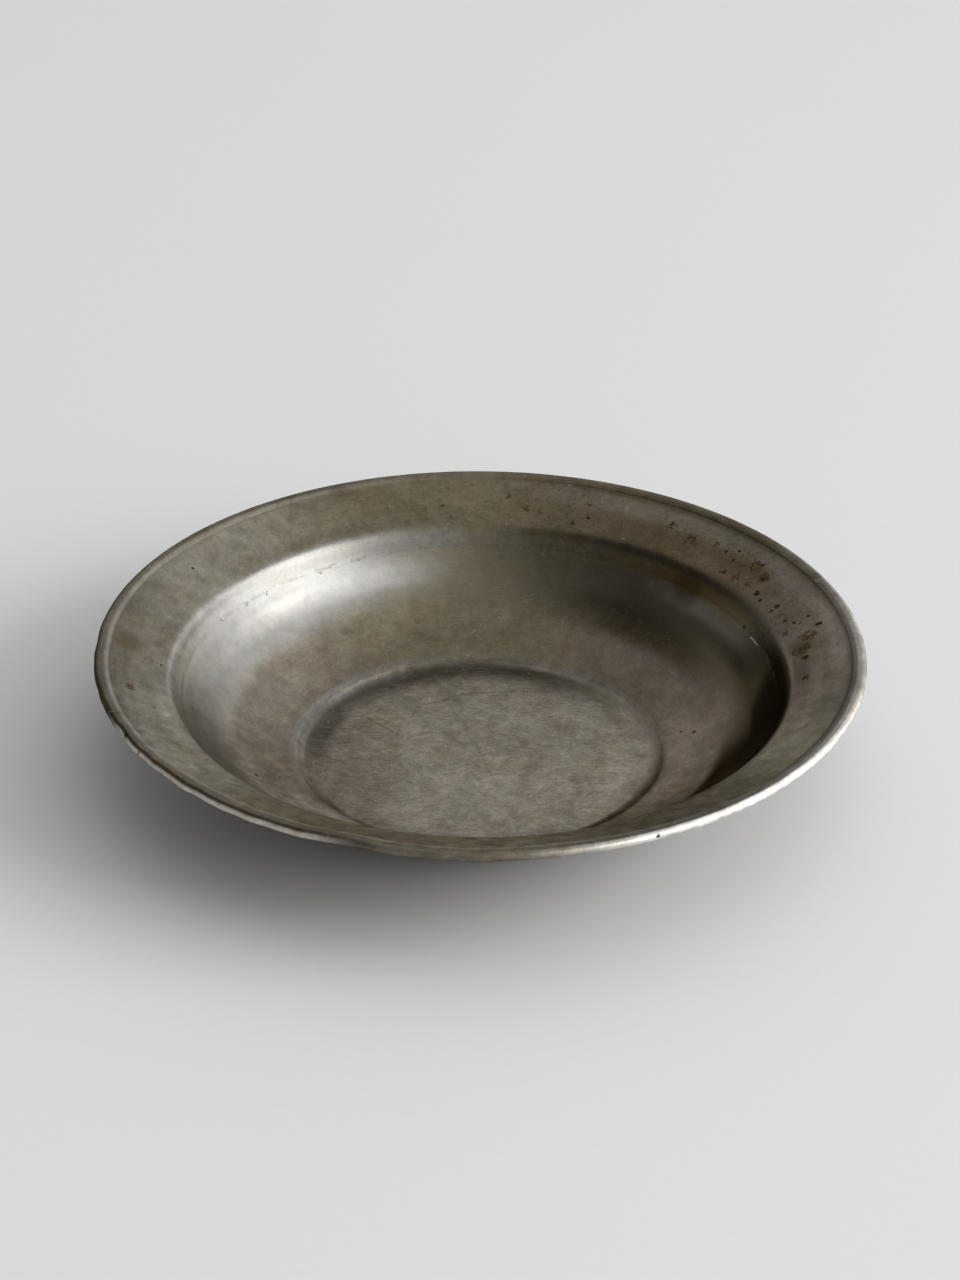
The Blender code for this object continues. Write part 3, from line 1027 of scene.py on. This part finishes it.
def make_dish_material():
    """Dull steel under a brown film, with scratches, painted shade and dirt in the groove, stains, pits
    and rust, and painted glints.
    """
    material = bpy.data.materials.new("worn sheet steel")
    sheet = SheetGraph(material)
    fine, turned = paint_film(sheet)
    scratches = paint_scratches(sheet)
    paint_rays(sheet)
    paint_dull_patches(sheet)
    paint_glints(sheet)
    paint_stains(sheet)
    groove_shade_and_dirt = paint_groove_shade_and_grime(sheet)
    rust, specks = paint_rust(sheet)
    bared = paint_strokes(sheet)
    pits = paint_pits(sheet)
    line = paint_wall_line(sheet)

    corroded = sheet.most([rust, specks, pits, groove_shade_and_dirt] + bared)
    on_bead = sheet.rise(sheet.radius, *BEAD_START)
    rough = sheet.times(sheet.span(sheet.mottle, *ROUGHNESS_SPREAD), sheet.unrest)
    rough = sheet.plus(rough, sheet.span(corroded, *ROUGHNESS))
    rough = sheet.minus(rough, sheet.times(sheet.gloss, GLOSS_SMOOTHING))
    rough = sheet.plus(rough, sheet.times(on_bead, BEAD_ROUGHENING))
    shader = sheet.tree.nodes["Principled BSDF"]
    sheet.feed(shader.inputs["Base Color"], sheet.colour)
    sheet.feed(shader.inputs["Metallic"], sheet.span(corroded, *METALLIC))
    sheet.feed(shader.inputs["Roughness"], rough)
    sheet.feed(shader.inputs["Specular IOR Level"], sheet.span(corroded, *SPECULAR))
    shader.inputs["Specular Tint"].default_value = SPECULAR_TINT

    relief = sheet.plus(sheet.times(sheet.mottle, MOTTLE_RELIEF), sheet.times(fine, FINE_RELIEF))
    relief = sheet.plus(relief, sheet.times(turned, TURNED_RELIEF))
    relief = sheet.minus(relief, sheet.times(scratches, SCRATCH_RELIEF))
    relief = sheet.times(relief, sheet.unrest)
    relief = sheet.minus(relief, sheet.times(wall_dings(sheet), DING_RELIEF))
    relief = sheet.minus(relief, sheet.times(line, LINE_RELIEF))
    sheet.emboss(shader, relief, RELIEF_STRENGTH, RELIEF_DEPTH)
    return material


def make_wire_material():
    """Drawn wire, dull and browned in patches."""
    material = bpy.data.materials.new("worn wire steel")
    graph = Graph(material)
    shader = graph.tree.nodes["Principled BSDF"]
    place = graph.node("ShaderNodeTexCoord").outputs["Object"]
    cloud = graph.noise(place, WIRE_CLOUD_NOISE)
    grain = graph.noise(place, WIRE_GRAIN_NOISE)
    rust = graph.rise(graph.noise(place, WIRE_RUST_NOISE), *WIRE_RUST_RISE)
    light = graph.times(graph.span(cloud, *WIRE_CLOUD_TONES), graph.span(grain, *WIRE_GRAIN_TONES))
    colour = graph.mix(1.0, FILM, light, "MULTIPLY")
    colour = graph.mix(graph.times(rust, WIRE_RUST_AMOUNT), colour, RUST)
    graph.feed(shader.inputs["Base Color"], colour)
    graph.feed(shader.inputs["Metallic"], graph.span(rust, *WIRE_METALLIC))
    graph.feed(shader.inputs["Roughness"], graph.span(rust, *WIRE_ROUGHNESS))
    graph.emboss(shader, graph.plus(grain, rust), WIRE_RELIEF_STRENGTH, WIRE_RELIEF_DEPTH)
    return material


def smooth(value, low, high):
    """0 up to low, 1 from high, and smooth between; low may be above high."""
    part = np.clip((value - low) / (high - low), 0.0, 1.0)
    return part * part * (3.0 - 2.0 * part)


def waves(turn, radius, rows):
    """The sum of several waves round the dish."""
    total = np.zeros(turn.shape)
    for count, start, twist, height in rows:
        total += height * np.sin(count * turn + start + twist * radius)
    return total


def wear_sheet(places):
    """Bends the sheet where use has bent it. Both of its faces move alike."""
    x, y = places[:, :, 0], places[:, :, 1]
    radius = np.hypot(x, y)
    turn = np.arctan2(y, x)
    lift = RIM_WARP * (radius / DISH_RADIUS) ** WARP_POWER * waves(turn, radius, RIM_WAVES)
    on_flange = smooth(radius, *RIPPLED_FLANGE_START) * smooth(radius, *RIPPLED_FLANGE_END)
    lift += FLANGE_RIPPLE * on_flange * waves(turn, radius, FLANGE_WAVES)
    on_floor = smooth(radius, *RIPPLED_FLOOR_START) * smooth(radius, *RIPPLED_FLOOR_END)
    lift += FLOOR_RIPPLE * on_floor * waves(turn, radius, FLOOR_WAVES)
    lift -= WALL_LINE_DEPTH * np.exp(-((radius - WALL_LINE_RADIUS) / WALL_LINE_WIDTH) ** 2)
    places[:, :, 2] += lift
    for pixel_x, pixel_y, depth, rise, width in BEAD_DENTS:
        centre = seen_at(pixel_x, pixel_y)
        away = np.hypot(x - centre[0], y - centre[1])
        near = np.exp(-(away / width) ** 2)
        push = depth * near * smooth(radius, *PUSHED_EDGE_START) / radius
        places[:, :, 2] += rise * near * smooth(radius, *LIFTED_EDGE_START)
        places[:, :, 0] -= x * push
        places[:, :, 1] -= y * push
    on_bead = smooth(radius, *LUMPY_BEAD_START)
    battered = 1.0 + BATTERED_GAIN * smooth(np.cos(turn - BATTERED_SIDE), *BATTERED_COSINES)
    swell = BEAD_LUMPS / DISH_RADIUS * on_bead * battered * waves(turn, radius, BEAD_WAVES)
    places *= 1.0 + swell[:, :, None] * (1.0, 1.0, 0.0)


def zone_amount(radius, turn, inner, outer, edge, direction, spread, fade=ZONE_END):
    """1 inside a zone of the dish, 0 outside it."""
    aside = np.abs((turn - direction + 180.0) % 360.0 - 180.0)
    amount = smooth(radius, outer + edge, outer - edge)
    if inner:
        amount = amount * smooth(radius, inner - edge, inner + edge)
    return amount * smooth(aside, spread + fade, spread - fade)


def paint_sheet(places, upper, tilts):
    """The colour at each point, film with painted highlights, reflections and shade, and how stained,
    pitted, upper and glossy it is.
    """
    radius = np.hypot(places[:, :, 0], places[:, :, 1])
    turn = np.degrees(np.arctan2(places[:, :, 1], places[:, :, 0]))
    tone = np.ones(radius.shape + (4,))
    wear = np.zeros(radius.shape + (4,))
    tone[:, :, :3] = FILM
    # the zones paint the film's tone together with painted highlights, reflections and shade
    for *zone, colour in FILM_AND_LIGHT_ZONES:
        amount = zone_amount(radius, turn, *zone)
        tone[:, :, :3] += amount[:, :, None] * (np.array(colour) - tone[:, :, :3])
    # painted reflections on the bead, chosen by how its face tilts and which way it faces
    for low, high, direction, spread, fade, colour in BEAD_REFLECTION_BANDS:
        amount = smooth(tilts, low - BAND_EDGE, low + BAND_EDGE)
        amount = amount * smooth(tilts, high + BAND_EDGE, high - BAND_EDGE)
        bead = zone_amount(radius, turn, SHOULDER_END, 1.0, SHOULDER_FADE, direction, spread, fade)
        tone[:, :, :3] += (amount[:, None] * bead)[:, :, None] * (np.array(colour) - tone[:, :, :3])
    for *zone, gloss in GLOSS_ZONES:
        wear[:, :, 3] = np.maximum(wear[:, :, 3], gloss * zone_amount(radius, turn, *zone))
    for pixel_x, pixel_y, size, stain, pitting in STAINS:
        away = np.linalg.norm(places - seen_at(pixel_x, pixel_y), axis=2)
        amount = np.exp(-(away / size) ** 2)
        wear[:, :, 0] = np.maximum(wear[:, :, 0], amount * stain)
        wear[:, :, 1] = np.maximum(wear[:, :, 1], amount * pitting)
    tone[~upper, :, :3] = UNDERSIDE
    wear[~upper] = 0.0
    wear[:, :, 2] = upper[:, None]
    return tone, wear


def ring_faces(rings):
    """The faces between rings of points, and a lid on the first and the last ring."""
    faces = []
    for ring in range(rings - 1):
        here = ring * STEPS_PER_TURN
        beyond = here + STEPS_PER_TURN
        for step in range(STEPS_PER_TURN):
            after = (step + 1) % STEPS_PER_TURN
            faces.append((here + step, beyond + step, beyond + after, here + after))
    faces.append(tuple(reversed(range(STEPS_PER_TURN))))
    last = (rings - 1) * STEPS_PER_TURN
    faces.append(tuple(last + step for step in range(STEPS_PER_TURN)))
    return faces


def make_dish():
    """The pressed sheet: its section turned, painted, and then worn out of true."""
    inner = [DISC_RADIUS * (ring + FIRST_RING) / DISC_RINGS for ring in range(DISC_RINGS)]
    upper_outline = [(r, UPPER[0][1]) for r in inner] + UPPER
    lower_outline = LOWER[::-1] + [(r, LOWER[0][1]) for r in inner[::-1]]
    outline = np.array(upper_outline + lower_outline)
    rings = len(outline)
    angles = np.arange(STEPS_PER_TURN) * 2 * pi / STEPS_PER_TURN
    places = np.empty((rings, STEPS_PER_TURN, 3))
    places[:, :, 0] = outline[:, 0, None] * np.cos(angles)
    places[:, :, 1] = outline[:, 0, None] * np.sin(angles)
    places[:, :, 2] = outline[:, 1, None]

    # How far the upper face of each ring is tilted, in degrees, where 90 faces up
    tilts = np.full(rings, 90.0)
    tilts[DISC_RINGS:len(upper_outline)] += np.degrees([heading for _, _, heading in SECTION.points])
    tone, wear = paint_sheet(places, np.arange(rings) < len(upper_outline), tilts)
    wear_sheet(places)

    mesh = bpy.data.meshes.new("dish")
    mesh.from_pydata(places.reshape(-1, 3).tolist(), [], ring_faces(rings))
    for name, values in (("tone", tone), ("wear", wear)):
        layer = mesh.attributes.new(name, "FLOAT_COLOR", "POINT")
        layer.data.foreach_set("color", values.reshape(-1))
    mesh.shade_smooth()
    mesh.set_sharp_from_angle(angle=SHARP_ANGLE)
    mesh.materials.append(make_dish_material())
    dish = bpy.data.objects.new("dish", mesh)
    bpy.context.scene.collection.objects.link(dish)
    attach(dish, "root")
    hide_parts("dish_shell")


def dress_wire():
    """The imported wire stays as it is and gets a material."""
    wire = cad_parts["rim_wire"]
    for slot in wire.material_slots:
        slot.material = make_wire_material()


place_camera()
make_world()
light_from("window", KEY_AZIMUTH, KEY_ELEVATION, KEY_DISTANCE, KEY_SIZE, KEY_POWER)
make_floor()
make_dish()
dress_wire()

scene = bpy.context.scene
scene.view_settings.view_transform = "Standard"
